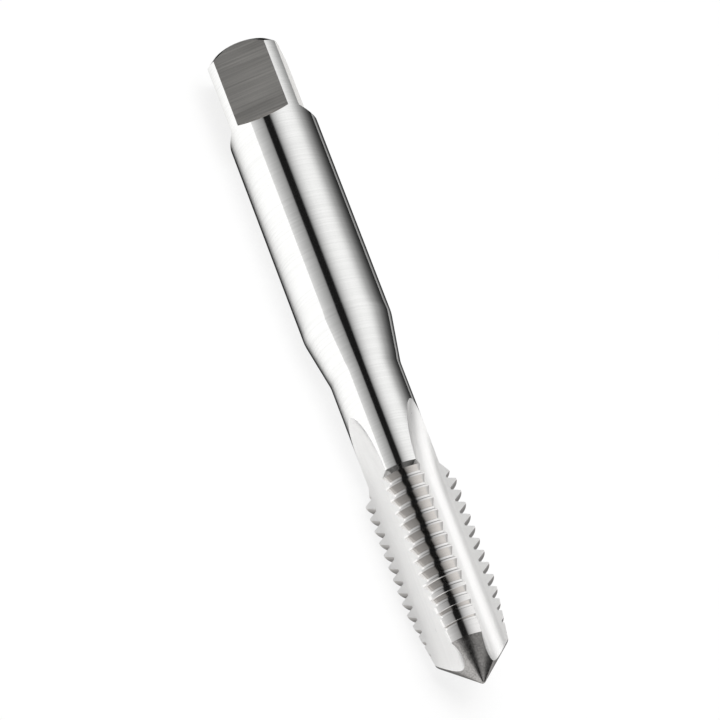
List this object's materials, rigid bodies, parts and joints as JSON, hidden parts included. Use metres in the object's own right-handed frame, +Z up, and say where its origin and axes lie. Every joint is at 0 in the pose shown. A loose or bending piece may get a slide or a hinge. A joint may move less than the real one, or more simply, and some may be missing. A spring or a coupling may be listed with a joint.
{
  "type": "thread tap",
  "caption": "Straight-flute hand tap with square drive, plain shank, reduced neck, fluted thread-cutting lands, lead taper and conical point; cuts an M10 x 1.5 right-hand thread.",
  "frame": {"origin": "on the ground under the middle of the tap as it lies on its side", "axes": "+X along the tap from the square drive to the point, +Z up, +Y across to the left of +X"},
  "size_m": [0.08, 0.0101, 0.0101],
  "materials": {
    "ground_tool_steel": "ground"
  },
  "bodies": {
    "root": {"tap": "ground_tool_steel"}
  },
  "joints": []
}
